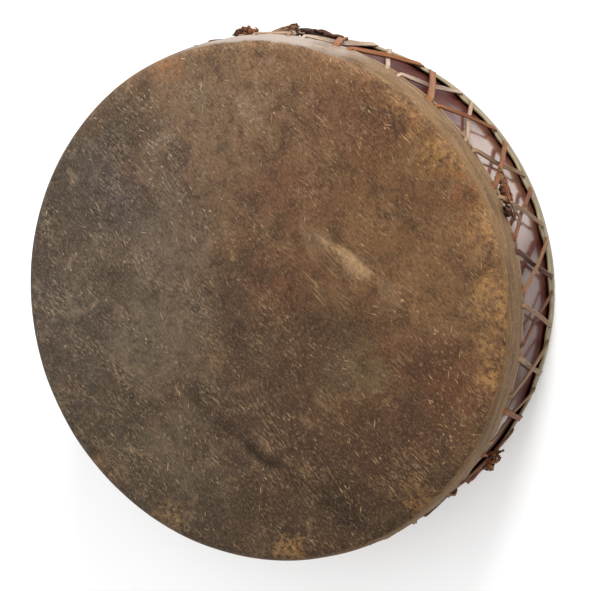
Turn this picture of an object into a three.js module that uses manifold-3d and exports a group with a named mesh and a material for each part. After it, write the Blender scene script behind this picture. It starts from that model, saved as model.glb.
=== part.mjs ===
// Ceremonial ritual drum: a bent-wood shell with two rawhide heads laced to each other.
// Millimetres, +Z up. The drum lies on its lower head, and the origin is the middle of that face.
import * as THREE from "three";
import { mergeVertices } from "three/addons/utils/BufferGeometryUtils.js";
import Module from "manifold-3d";

const wasm = await Module();
wasm.setup();

// Driving dimensions
const DRUM_HEIGHT = 210; // from the lower playing face to the upper one
const SHELL_RADIUS = 300; // outside of the wooden shell
const SHELL_WALL = 8;
const RIM_ROUND = 12; // rounding of the shell's outer edges, which the skins turn over
const SKIN = 2.8; // thickness of the rawhide
const GAP = 0.3; // clearance between pieces that touch
const SKIRT_STAND = 3.6; // how far a skirt stands off the shell where the lace passes behind it
const SKIRT_CURL = 0.6; // how much further out its free edge curls
const SKIRT_HANG = 12; // how far above the lace holes the skirt has come clear of the rim
const UPPER_HOLE_DEPTH = 43; // lace holes, from the playing face
const LOWER_HOLE_DEPTH = 37;
const EDGE_MARGIN = 8.8; // from the holes to the free edge, at a tab
const SCALLOP = 6; // how much shallower the skirt is between two tabs
const HOLE_WIDTH = 7;
const HOLE_HEIGHT = 8.4;
const CROSSES = 32; // lace crosses round the drum
const LEG_LEAN = 0.376; // half the angle between a leg's two ends, as a share of the pitch
const FIRST_CROSS = -0.8134; // angle of cross 0 round the drum
const WOBBLE = 0.045; // how far the hand-cut holes stray round the drum, as a share of the pitch
const UPPER_STRAYS = { 1: [2.9, 1.4], [-1]: [0.3, 4.5] }; // rate and start of that stray, for each leg
const LOWER_STRAYS = { 1: [1.1, 6.1], [-1]: [0.7, 0.4] };
const LACE_WIDTH = 5.6;
const LACE_THICK = 1.8;
const KNOT_RING = 7.6; // middle radius of the binding round a lace
const KNOT_CORD = 1.8; // radius of the thong that binds it
const KNOT_FLATNESS = 0.64; // the binding is pressed flat towards the shell
const KNOT_STRETCH = 1.3; // and is longer along the drum's axis
const KNOT_LUMP = 6.5; // radius of the knot itself, which is about half as deep
const KNOT_LUMP_DEPTH = 3.4;
const TAIL_WIDTH = 4.5;

const PITCH = (2 * Math.PI) / CROSSES;
const SEGMENTS = 2 * CROSSES; // a facet edge at every cross and at every tab
const SKIN_OUTER = SHELL_RADIUS + GAP + SKIN;
const LACE_INNER_RADIUS = SHELL_RADIUS + GAP + LACE_THICK / 2;
const HOLE_RADIUS = SHELL_RADIUS + SKIRT_STAND + SKIN / 2;
const LACE_OUTER_RADIUS = SHELL_RADIUS + SKIRT_STAND + SKIRT_CURL + SKIN + 2 * GAP + LACE_THICK / 2;
const LACE_ENTRY = 4.2; // along a leg, from the middle of a hole to where the lace lies behind the skirt
const LACE_EXIT = 4.8; // and to where it is clear of the skirt outside
const LACE_SAG = 1; // how much nearer to the shell a leg's middle lies than its ends
const LACE_SEPARATION = 2.9; // between the two laces' middles where they cross
const CROSS_RADIUS = LACE_OUTER_RADIUS - LACE_SAG;

const WOOD = new THREE.MeshStandardMaterial({ color: 0x6b322a, roughness: 0.35, metalness: 0 });
const RAWHIDE = new THREE.MeshStandardMaterial({ color: 0x7a5f40, roughness: 0.7, metalness: 0 });
const THONG = new THREE.MeshStandardMaterial({ color: 0xa9764a, roughness: 0.75, metalness: 0 });

function polar(angle, radius, height) {
  return new THREE.Vector3(radius * Math.cos(angle), radius * Math.sin(angle), height);
}

// A closed profile of [radius, height] points, turned round the drum's axis.
function turned(profile) {
  const points = profile.map(([radius, height]) => new THREE.Vector2(radius, height));
  const geometry = new THREE.LatheGeometry(points, SEGMENTS, FIRST_CROSS + Math.PI / 2);
  return geometry.rotateX(Math.PI / 2);
}

function solidOf(geometry) {
  const bare = geometry.index ? geometry.toNonIndexed() : geometry.clone();
  bare.deleteAttribute("normal");
  bare.deleteAttribute("uv");
  const merged = mergeVertices(bare, 1e-3);
  const vertProperties = merged.attributes.position.array;
  const triVerts = new Uint32Array(merged.index.array);
  return new wasm.Manifold(new wasm.Mesh({ numProp: 3, vertProperties, triVerts }));
}

function geometryOf(solid) {
  const { vertProperties, triVerts } = solid.getMesh();
  const geometry = new THREE.BufferGeometry();
  geometry.setAttribute("position", new THREE.BufferAttribute(new Float32Array(vertProperties), 3));
  geometry.setIndex(new THREE.BufferAttribute(new Uint32Array(triVerts), 1));
  return geometry;
}

// Points on a quarter round from the flat face to the side, as [radius, depth below the face].
function rimRound(outerRadius, round, steps) {
  const points = [];
  for (let i = 0; i <= steps; i++) {
    const turn = (Math.PI / 2) * (1 - i / steps);
    points.push([outerRadius - round + round * Math.cos(turn), round - round * Math.sin(turn)]);
  }
  return points;
}

// The shell is a ring whose outer edges are rounded, so that the wet skins turn over them smoothly.
// Its inner corner cuts the round off where the wall ends.
function shellGeometry() {
  const [crown, next, ...rest] = rimRound(SHELL_RADIUS, RIM_ROUND, 2);
  const innerRadius = SHELL_RADIUS - SHELL_WALL;
  const cornerDepth = (next[1] * (innerRadius - crown[0])) / (next[0] - crown[0]);
  const round = [[innerRadius, cornerDepth], next, ...rest];
  const upper = round.map(([radius, depth]) => [radius, DRUM_HEIGHT - SKIN - GAP - depth]);
  const lower = round.map(([radius, depth]) => [radius, SKIN + GAP + depth]);
  return turned([...lower, ...upper.reverse(), lower[0]]);
}

// A skin: a flat face, the turn over the rim and a skirt, as [radius, depth] from the middle to the
// free edge along the outside, and back along the inside.
function skinProfile(holeDepth) {
  const outerRound = RIM_ROUND + GAP + SKIN;
  const innerRound = RIM_ROUND + GAP;
  const skirtDepth = holeDepth - SKIRT_HANG;
  const edgeDepth = holeDepth + EDGE_MARGIN;
  const stand = SHELL_RADIUS + SKIRT_STAND;
  const curl = stand + SKIRT_CURL;
  const outside = [[0, 0], ...rimRound(SKIN_OUTER, outerRound, 3)];
  outside.push([stand + SKIN, skirtDepth], [curl + SKIN, edgeDepth]);
  const under = [[0, 0], ...rimRound(SHELL_RADIUS + GAP, innerRound, 2)];
  const inside = under.map(([radius, depth]) => [radius, depth + SKIN]);
  inside.push([stand, skirtDepth], [curl, edgeDepth]);
  return [...outside, ...inside.reverse()];
}

// Small, repeatable unevenness of the hand-cut holes: side is 1 or -1, for the two legs of a cross.
function holeAngle(cross, side, isUpper) {
  const [rate, start] = (isUpper ? UPPER_STRAYS : LOWER_STRAYS)[side];
  const stray = WOBBLE * Math.sin(rate * THREE.MathUtils.euclideanModulo(cross, CROSSES) + start);
  const lean = isUpper ? side * LEG_LEAN : -side * LEG_LEAN;
  return FIRST_CROSS + PITCH * (lean - cross + stray);
}

function holeHeight(isUpper) {
  return isUpper ? DRUM_HEIGHT - UPPER_HOLE_DEPTH : LOWER_HOLE_DEPTH;
}

function holeCutter(cross, side, isUpper) {
  const box = new THREE.BoxGeometry(4 * (SKIN + SKIRT_CURL), HOLE_WIDTH, HOLE_HEIGHT);
  const turn = holeAngle(cross, side, isUpper);
  const around = 2 * LEG_LEAN * PITCH * SHELL_RADIUS;
  box.rotateX(-side * Math.atan(around / (holeHeight(true) - holeHeight(false))));
  box.rotateZ(turn);
  const middle = polar(turn, HOLE_RADIUS, holeHeight(isUpper));
  return solidOf(box.translate(middle.x, middle.y, middle.z));
}

// A head: the skin with its free edge scalloped between the tabs, and a slit for every lace leg.
function headGeometry(isUpper) {
  const holeDepth = isUpper ? UPPER_HOLE_DEPTH : LOWER_HOLE_DEPTH;
  const profile = skinProfile(holeDepth);
  const heights = profile.map(([r, depth]) => [r, isUpper ? DRUM_HEIGHT - depth : depth]);
  const geometry = turned(isUpper ? heights.reverse() : heights);
  const position = geometry.attributes.position;
  const edge = isUpper ? DRUM_HEIGHT - holeDepth - EDGE_MARGIN : holeDepth + EDGE_MARGIN;
  for (let i = 0; i < position.count; i++) {
    if (Math.abs(position.getZ(i) - edge) > 0.01) continue;
    const angle = Math.atan2(position.getY(i), position.getX(i));
    const between = (1 + Math.cos(CROSSES * (angle - FIRST_CROSS))) / 2;
    position.setZ(i, edge + (isUpper ? 1 : -1) * SCALLOP * between);
  }
  let head = solidOf(geometry);
  for (let cross = 0; cross < CROSSES; cross++) {
    head = head.subtract(holeCutter(cross, 1, isUpper));
    head = head.subtract(holeCutter(cross, -1, isUpper));
  }
  return geometryOf(head);
}

// A flat strip keeps one face towards the drum's axis all the way along its points.
class StripPath extends THREE.Curve {
  constructor(points) {
    super();
    this.points = points;
  }
  getPoint(t) {
    const place = t * (this.points.length - 1);
    const before = Math.min(Math.floor(place), this.points.length - 2);
    return this.points[before].clone().lerp(this.points[before + 1], place - before);
  }
  getSpacedPoints() {
    return this.points;
  }
  computeFrenetFrames() {
    const last = this.points.length - 1;
    const frames = { tangents: [], normals: [], binormals: [] };
    this.points.forEach((point, i) => {
      const behind = this.points[Math.max(i - 1, 0)];
      const ahead = this.points[Math.min(i + 1, last)];
      const tangent = ahead.clone().sub(behind).normalize();
      const outward = new THREE.Vector3(point.x, point.y, 0).normalize();
      const normal = outward.addScaledVector(tangent, -outward.dot(tangent)).normalize();
      frames.tangents.push(tangent);
      frames.normals.push(normal);
      frames.binormals.push(tangent.clone().cross(normal));
    });
    return frames;
  }
}

function strip(points, width, thickness) {
  const section = new THREE.Shape();
  section.moveTo(-thickness / 2, -width / 2);
  section.lineTo(thickness / 2, -width / 2);
  section.lineTo(thickness / 2, width / 2);
  section.lineTo(-thickness / 2, width / 2);
  section.closePath();
  const extrudePath = new StripPath(points);
  return new THREE.ExtrudeGeometry(section, { steps: points.length - 1, extrudePath });
}

// A point of a lace leg, at a distance along it from its upper hole.
function legLength(cross, side) {
  const around = (holeAngle(cross, side, true) - holeAngle(cross, side, false)) * LACE_OUTER_RADIUS;
  return Math.hypot(around, holeHeight(true) - holeHeight(false));
}

function legPoint(cross, side, distance, radius) {
  const share = distance / legLength(cross, side);
  const angle = THREE.MathUtils.lerp(holeAngle(cross, side, true), holeAngle(cross, side, false), share);
  return polar(angle, radius, THREE.MathUtils.lerp(holeHeight(true), holeHeight(false), share));
}

// One leg from behind the upper skirt, out through its hole, across the shell and in behind the
// lower skirt. At its middle the leg lies under or over the other lace.
function legPoints(cross, side, isOver) {
  const length = legLength(cross, side);
  const middle = CROSS_RADIUS + ((isOver ? 1 : -1) * LACE_SEPARATION) / 2;
  return [
    legPoint(cross, side, -LACE_ENTRY, LACE_INNER_RADIUS),
    legPoint(cross, side, LACE_EXIT, LACE_OUTER_RADIUS),
    legPoint(cross, side, length / 2, middle),
    legPoint(cross, side, length - LACE_EXIT, LACE_OUTER_RADIUS),
    legPoint(cross, side, length + LACE_ENTRY, LACE_INNER_RADIUS),
  ];
}

// The turn behind a skirt, from one leg's hole to the next leg's.
function turnPoint(from, to) {
  const angle = Math.atan2(from.y + to.y, from.x + to.x);
  const reach = Math.sign(from.z - DRUM_HEIGHT / 2) * LACE_WIDTH; // one strip's width towards the rim
  return polar(angle, LACE_INNER_RADIUS, (from.z + to.z) / 2 + reach);
}

// A lace zigzags once round the drum, down one leg of a cross and up one leg of the next. Its two
// ends are tucked behind the upper skirt.
function laceGeometry(startCross, isOver) {
  const points = [];
  for (let i = 0; i < CROSSES; i++) {
    const isDown = i % 2 === 0;
    const leg = legPoints(startCross + i, isDown ? 1 : -1, isOver);
    if (!isDown) leg.reverse();
    if (i > 0) points.push(turnPoint(points[points.length - 1], leg[0]));
    points.push(...leg);
  }
  return strip(points, LACE_WIDTH, LACE_THICK);
}

// A short thong bound round one lace leg, or round both where they cross, and knotted, with loose
// tails. sides holds the legs it binds and share is how far down them it is tied. Each tail is a
// list of [around, along, out] offsets in millimetres.
function knotGeometry(cross, sides, share, tails) {
  const centre = new THREE.Vector3();
  for (const side of sides) {
    const place = legPoint(cross, side, share * legLength(cross, side), CROSS_RADIUS);
    centre.addScaledVector(place, 1 / sides.length);
  }
  const turn = Math.atan2(centre.y, centre.x);
  const ring = new THREE.TorusGeometry(KNOT_RING, KNOT_CORD, 4, 8);
  ring.scale(KNOT_FLATNESS, 1, KNOT_STRETCH).rotateZ(turn).translate(centre.x, centre.y, centre.z);
  const out = CROSS_RADIUS + KNOT_RING * KNOT_FLATNESS + KNOT_CORD;
  const seat = polar(turn, out, centre.z);
  const lump = new THREE.SphereGeometry(1, 6, 4);
  lump.scale(KNOT_LUMP_DEPTH, KNOT_LUMP, KNOT_LUMP).rotateZ(turn).translate(seat.x, seat.y, seat.z);
  let knot = solidOf(ring).add(solidOf(lump));
  for (const tail of tails) {
    const points = tail.map(([around, along, rise]) =>
      polar(turn + around / out, out + rise, centre.z + along),
    );
    knot = knot.add(solidOf(strip(points, TAIL_WIDTH, LACE_THICK)));
  }
  return geometryOf(knot);
}

function piece(name, geometry, material) {
  const mesh = new THREE.Mesh(geometry, material);
  mesh.name = name;
  return mesh;
}

const drum = new THREE.Group();
drum.add(piece("shell", shellGeometry(), WOOD));
drum.add(piece("upper_head", headGeometry(true), RAWHIDE));
drum.add(piece("lower_head", headGeometry(false), RAWHIDE));
drum.add(piece("under_lace", laceGeometry(-3, false), THONG));
drum.add(piece("over_lace", laceGeometry(-4, true), THONG));

const KNOTS = {
  bundle_knot: [-3, [1, -1], 0.5, [[[0, 4, 0], [9, 8, 2], [17, 3, 4]], [[0, -4, 0], [12, -6, 1]]]],
  crossed_knot: [-2, [1, -1], 0.5, [[[0, 2, 0], [-8, 8, 4], [-15, 12, 8]], [[0, -4, 0], [10, -10, 5]]]],
  side_knot: [3, [-1], 0.26, [[[0, 3, 0], [-6, 11, 1], [-13, 9, 2]], [[0, -4, 0], [3, -13, 1]]]],
  lower_knot: [9, [1, -1], 0.5, [[[0, 3, 0], [8, 8, 4], [12, 15, 6]], [[0, -3, 0], [-9, -9, 3]]]],
};
for (const [name, [cross, sides, share, tails]] of Object.entries(KNOTS)) {
  drum.add(piece(name, knotGeometry(cross, sides, share, tails), THONG));
}

export default drum;
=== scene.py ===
# %% [markdown]
# # A laced frame drum
# The drum is a wide wooden ring with a thick rawhide skin over each end. The skins were put on wet, turned
# down over the rim, and pulled towards each other by two flat leather thongs that zigzag all the way round.
# Everything is made round the imported model, so its size comes from the model's boxes. Where stains, creases,
# knots and strays of the holes lie was judged and is given as places on the drum, tuned for the side
# that the camera sees.

# %% Load the frame and measure it
import math
import random

import bmesh
import bpy
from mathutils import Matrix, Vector, noise
from mathutils.kdtree import KDTree


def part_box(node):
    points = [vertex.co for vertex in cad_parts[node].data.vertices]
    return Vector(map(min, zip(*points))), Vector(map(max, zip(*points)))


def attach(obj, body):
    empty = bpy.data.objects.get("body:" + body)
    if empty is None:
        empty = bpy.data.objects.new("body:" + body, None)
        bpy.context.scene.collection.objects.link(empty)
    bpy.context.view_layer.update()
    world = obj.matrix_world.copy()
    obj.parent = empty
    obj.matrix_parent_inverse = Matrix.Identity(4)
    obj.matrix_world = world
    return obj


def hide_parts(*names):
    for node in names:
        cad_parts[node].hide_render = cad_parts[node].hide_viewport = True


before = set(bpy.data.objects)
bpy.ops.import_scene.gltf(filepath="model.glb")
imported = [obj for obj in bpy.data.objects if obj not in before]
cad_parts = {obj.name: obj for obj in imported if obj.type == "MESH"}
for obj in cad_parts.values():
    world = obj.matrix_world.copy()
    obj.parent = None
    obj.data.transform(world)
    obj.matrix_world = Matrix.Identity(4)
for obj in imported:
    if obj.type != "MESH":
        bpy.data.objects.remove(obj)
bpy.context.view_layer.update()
MM = 0.001
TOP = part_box("upper_head")[1].z
SHELL_RADIUS = round(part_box("shell")[1].y, 3)
UPPER_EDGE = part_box("upper_head")[0].z
LOWER_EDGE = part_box("lower_head")[1].z
print(f"drum {TOP:.3f} m high, shell radius {SHELL_RADIUS:.3f} m")

# %% [markdown]
# ## How the drum is laced
# Each thong goes down one leg of a cross and up one leg of the next, so two thongs make thirty-two crosses,
# an estimate of the real count. The holes were cut by hand, so each row of them strays a little. All pieces
# that meet at a hole use these formulas, and a formula keeps them in step where a list of places would drift
# apart.

# %% Holes and legs
CROSSES = 32
PITCH = 2 * math.pi / CROSSES
LEG_LEAN = 0.376
FIRST_CROSS = -0.8134
WOBBLE = 0.045
EDGE_MARGIN = 8.8 * MM
SCALLOP = 6 * MM
SKIN = 2.8 * MM
SKIRT_STAND = 2.4 * MM
THONG_WIDTH = 5.8 * MM
THONG_THICKNESS = 2.1 * MM
HOLE_HEIGHTS = {True: UPPER_EDGE + EDGE_MARGIN, False: LOWER_EDGE - EDGE_MARGIN}
STRAYS = {(1, True): (2.9, 1.4), (-1, True): (0.3, 4.5), (1, False): (1.1, 6.1), (-1, False): (0.7, 0.4)}


def hole_angle(cross, side, is_upper):
    """side is 1 or -1, for the two legs of a cross."""
    rate, start = STRAYS[side, is_upper]
    stray = WOBBLE * math.sin(rate * (cross % CROSSES) + start)
    lean = side * LEG_LEAN if is_upper else -side * LEG_LEAN
    return FIRST_CROSS + PITCH * (lean - cross + stray)


def polar(angle, radius, height):
    return Vector((radius * math.cos(angle), radius * math.sin(angle), height))


print("holes at", {k: round(v, 4) for k, v in HOLE_HEIGHTS.items()})

# %% [markdown]
# ## The camera
# The camera looks down on the lying drum at about 27 degrees from its axis, and it is rolled so that the
# laced side shows towards the upper right. A short turn to the side puts the drum in the middle of the view,
# which keeps the lens unshifted, so that other views stay centred too.

# %% Camera
TILT = 0.4685
BEARING = -1.5968
ROLL = 0.3387
PAN = 0.0295
PITCH_DOWN = 0.0074
DISTANCE = 1.711
FOCAL_LENGTH = 91.4


def camera_axes():
    towards = Vector((math.cos(BEARING), math.sin(BEARING), 0))
    back = towards * math.sin(TILT) + Vector((0, 0, math.cos(TILT)))
    level = towards * math.cos(TILT) - Vector((0, 0, math.sin(TILT)))
    across = Vector((0, 0, 1)).cross(towards)
    right = level * math.cos(ROLL) - across * math.sin(ROLL)
    up = level * math.sin(ROLL) + across * math.cos(ROLL)
    return right, up, back


IMAGE_RIGHT, IMAGE_UP, TO_CAMERA = camera_axes()
camera_data = bpy.data.cameras.new("camera")
camera_data.lens = FOCAL_LENGTH
camera = bpy.data.objects.new("camera", camera_data)
bpy.context.scene.collection.objects.link(camera)
camera.location = Vector((0, 0, TOP)) + TO_CAMERA * DISTANCE
turned_right = IMAGE_RIGHT * math.cos(PAN) + TO_CAMERA * math.sin(PAN)
turned_back = TO_CAMERA * math.cos(PAN) - IMAGE_RIGHT * math.sin(PAN)
turned_up = IMAGE_UP * math.cos(PITCH_DOWN) + turned_back * math.sin(PITCH_DOWN)
looking_back = turned_right.cross(turned_up)
rotation = camera.rotation_euler.to_matrix()
rotation.col[0], rotation.col[1], rotation.col[2] = turned_right, turned_up, looking_back
camera.rotation_euler = rotation.to_euler()
bpy.context.scene.camera = camera
print("camera at", [round(v, 3) for v in camera.location])

# %% [markdown]
# ## Floor and light
# A plain pale floor and a pale world fill the shadows. The main light is a large soft square to the upper
# right of the view and fairly low, so it rakes across the skin and shows its creases, and the skirt on that
# side turns pale.

# %% Floor, world and lights
def studio_floor():
    bm = bmesh.new()
    bmesh.ops.create_grid(bm, x_segments=1, y_segments=1, size=6.0)
    mesh = bpy.data.meshes.new("floor")
    bm.to_mesh(mesh)
    bm.free()
    floor = bpy.data.objects.new("floor", mesh)
    bpy.context.scene.collection.objects.link(floor)
    paint = bpy.data.materials.new("floor_paint")
    paint.use_nodes = True
    shader = paint.node_tree.nodes["Principled BSDF"]
    shader.inputs["Base Color"].default_value = (0.98, 0.98, 0.98, 1)
    shader.inputs["Roughness"].default_value = 0.9
    mesh.materials.append(paint)
    return floor


def soft_light(name, direction, distance, size, power):
    data = bpy.data.lights.new(name, "AREA")
    data.shape = "SQUARE"
    data.size = size
    data.energy = power
    lamp = bpy.data.objects.new(name, data)
    lamp.location = direction.normalized() * distance
    lamp.rotation_euler = direction.to_track_quat("Z", "Y").to_euler()
    bpy.context.scene.collection.objects.link(lamp)
    return lamp


studio_floor()
UP = Vector((0, 0, 1))
sideways = (IMAGE_UP + IMAGE_RIGHT * 0.35).normalized()
soft_light("main_light", sideways + UP * 0.8, 2.6, 0.9, 74)
soft_light("camera_side_light", TO_CAMERA - IMAGE_RIGHT * 0.3, 3.4, 2.5, 18)
world = bpy.data.worlds.new("studio")
world.use_nodes = True
background = world.node_tree.nodes["Background"]
background.inputs["Color"].default_value = (1, 1, 1, 1)
background.inputs["Strength"].default_value = 0.95
bpy.context.scene.world = world
bpy.context.scene.view_settings.view_transform = "Standard"

# %% [markdown]
# ## Nodes in few words
# A finish is a tree of small nodes. These helpers make one node each and link what they are given, so a
# material reads as a list of what is laid over what.

# %% Helpers for node trees
def node(tree, kind, inputs=None, **settings):
    made = tree.nodes.new(kind)
    for key, value in settings.items():
        setattr(made, key, value)
    for key, value in (inputs or {}).items():
        if isinstance(value, bpy.types.NodeSocket):
            tree.links.new(value, made.inputs[key])
        else:
            made.inputs[key].default_value = value
    return made


def maths(tree, operation, first, second=0.0):
    return node(tree, "ShaderNodeMath", {0: first, 1: second}, operation=operation).outputs[0]


def times(tree, first, second):
    return maths(tree, "MULTIPLY", first, second)


def blend(tree, mask, under, over, mode="MIX"):
    mixed = node(tree, "ShaderNodeMix", {0: mask, 6: under, 7: over}, data_type="RGBA", blend_type=mode)
    return mixed.outputs[2]


def spread(tree, value, low, high, to_low=0.0, to_high=1.0):
    inputs = {"Value": value, "From Min": low, "From Max": high, "To Min": to_low, "To Max": to_high}
    return node(tree, "ShaderNodeMapRange", inputs, interpolation_type="SMOOTHSTEP").outputs[0]


def cloud(tree, vector, scale, detail=3.0, roughness=0.55, distortion=0.0):
    inputs = {"Vector": vector, "Scale": scale, "Detail": detail, "Roughness": roughness}
    inputs["Distortion"] = distortion
    return node(tree, "ShaderNodeTexNoise", inputs).outputs["Fac"]


def placed(tree, vector, offset=(0, 0, 0), turn=(0, 0, 0), scale=(1, 1, 1)):
    inputs = {"Vector": vector, "Location": offset, "Rotation": turn, "Scale": scale}
    return node(tree, "ShaderNodeMapping", inputs).outputs[0]


def shade(red, green, blue):
    """A colour from its everyday 0 to 255 values."""
    return tuple(((c / 255 + 0.055) / 1.055) ** 2.4 for c in (red, green, blue)) + (1.0,)


# %% [markdown]
# ## Shared effects
# Scratches, pale flecks, ragged patches and fibres come back in more than one finish, so each is a node group
# with named inputs. A group gives out only masks, and the material decides what the mask does: some patches
# are stains, others painted shade, highlight or sheen.

# %% Helper for node groups
def group(name, inputs, outputs):
    """An empty node group: each socket is a name and a default value."""
    made = bpy.data.node_groups.new(name, "ShaderNodeTree")
    for label, default in inputs.items():
        kind = "NodeSocketFloat" if isinstance(default, (int, float)) else "NodeSocketVector"
        socket = made.interface.new_socket(label, in_out="INPUT", socket_type=kind)
        socket.default_value = default
    for label in outputs:
        made.interface.new_socket(label, in_out="OUTPUT", socket_type="NodeSocketFloat")
    return made, made.nodes.new("NodeGroupInput").outputs, made.nodes.new("NodeGroupOutput").inputs


def use(tree, shared, **inputs):
    made = node(tree, "ShaderNodeGroup", node_tree=shared)
    for key, value in inputs.items():
        socket = made.inputs[key.replace("_", " ").capitalize()]
        if isinstance(value, bpy.types.NodeSocket):
            tree.links.new(value, socket)
        else:
            socket.default_value = value
    return made.outputs[0]


# %% Scratches
def scratches_group():
    inputs = {"Vector": (0, 0, 0), "Turn": (0, 0, 0), "Stretch": (60, 700, 60)}
    inputs |= {"Share": 0.3, "Patchiness": 6.0}
    made, given, out = group("scratches", inputs, ["Mask"])
    turned = placed(made, given["Vector"], turn=given["Turn"])
    drawn = node(made, "ShaderNodeVectorMath", {0: turned, 1: given["Stretch"]}, operation="MULTIPLY")
    lines = cloud(made, drawn.outputs[0], 1.0, 2.0, 0.6, 0.4)
    where = cloud(made, given["Vector"], given["Patchiness"], 3.0, 0.6)
    wanted = maths(made, "ADD", lines, times(made, maths(made, "SUBTRACT", where, 0.5), 0.55))
    start = maths(made, "SUBTRACT", 0.86, times(made, given["Share"], 0.5))
    made.links.new(spread(made, wanted, start, maths(made, "ADD", start, 0.06)), out["Mask"])
    return made


SCRATCHES = scratches_group()
print("group:", SCRATCHES.name)


# %% Flecks
def flecks_group():
    inputs = {"Vector": (0, 0, 0), "Scale": 90.0, "Size": 0.16}
    inputs |= {"Share": 0.3, "Patchiness": 8.0, "Shake": 0.006}
    made, given, out = group("flecks", inputs, ["Mask"])
    shaken = node(made, "ShaderNodeTexNoise", {"Vector": given["Vector"], "Scale": 160.0, "Detail": 2.0})
    scaled = {0: shaken.outputs["Color"], 3: given["Shake"]}
    nudge = node(made, "ShaderNodeVectorMath", scaled, operation="SCALE").outputs[0]
    moved = node(made, "ShaderNodeVectorMath", {0: given["Vector"], 1: nudge}, operation="ADD").outputs[0]
    cells = node(made, "ShaderNodeTexVoronoi", {"Vector": moved, "Scale": given["Scale"]})
    chance, depth, _ = node(made, "ShaderNodeSeparateColor", {0: cells.outputs["Color"]}).outputs
    where = cloud(made, given["Vector"], given["Patchiness"], 3.0, 0.6)
    kept = maths(made, "ADD", chance, times(made, maths(made, "SUBTRACT", where, 0.5), 2.6))
    is_kept = maths(made, "GREATER_THAN", kept, maths(made, "SUBTRACT", 1.0, given["Share"]))
    reach = times(made, given["Size"], maths(made, "ADD", 0.4, chance))
    dot = spread(made, cells.outputs["Distance"], reach, times(made, reach, 0.4))
    strength = maths(made, "ADD", 0.25, times(made, times(made, depth, depth), 0.75))
    made.links.new(times(made, times(made, dot, strength), is_kept), out["Mask"])
    return made


FLECKS = flecks_group()
print("group:", FLECKS.name)


# %% Ragged patches
def ragged_patch_group():
    inputs = {"Vector": (0, 0, 0), "Centre": (0, 0, 0), "Radius": 0.05, "Ragged": 0.5, "Grain": 30.0}
    made, given, out = group("ragged_patch", inputs, ["Mask"])
    away = node(made, "ShaderNodeVectorMath", {0: given["Vector"], 1: given["Centre"]}, operation="DISTANCE")
    share = maths(made, "DIVIDE", away.outputs["Value"], given["Radius"])
    rough = maths(made, "SUBTRACT", cloud(made, given["Vector"], given["Grain"], 5.0, 0.65), 0.5)
    torn = maths(made, "ADD", share, times(made, rough, times(made, given["Ragged"], 4.0)))
    made.links.new(spread(made, torn, 1.1, 0.35), out["Mask"])
    return made


RAGGED_PATCH = ragged_patch_group()
print("group:", RAGGED_PATCH.name)


# %% [markdown]
# ## The smoked rawhide of the played head
# The skin is brown from smoke and handling, olive-grey at one side and warmer at the other, and painted shade
# darkens it away from the main light. It is scratched all over, rubbed down to pale gold where it turns over
# the rim, and its skirt is paler, because hands and smoke don't reach it as much; where the skirt faces the
# main light its colour is painted paler still, a painted highlight. Painted shade also lies in the crease and
# the fold, and a pale line along the ridge is partly rubbed wear and partly painted highlight. Stains and
# painted light sit at places on the head, so they read Object coordinates.

# %% Material: upper rawhide
def empty_finish(name):
    finish = bpy.data.materials.new(name)
    finish.use_nodes = True
    tree = finish.node_tree
    where = node(tree, "ShaderNodeTexCoord").outputs["Object"]
    return finish, tree, where, tree.nodes["Principled BSDF"]


def with_patches(tree, where, colour, stains):
    """Lays ragged patches over a colour, stains and some painted shade and highlight: each has a place on the
    head, a radius, a shade and a strength.
    """
    for (x, y), radius, tint, strength, grain in stains:
        mask = use(tree, RAGGED_PATCH, vector=where, centre=(x, y, TOP), radius=radius, grain=grain)
        colour = blend(tree, times(tree, mask, strength), colour, tint)
    return colour


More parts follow.
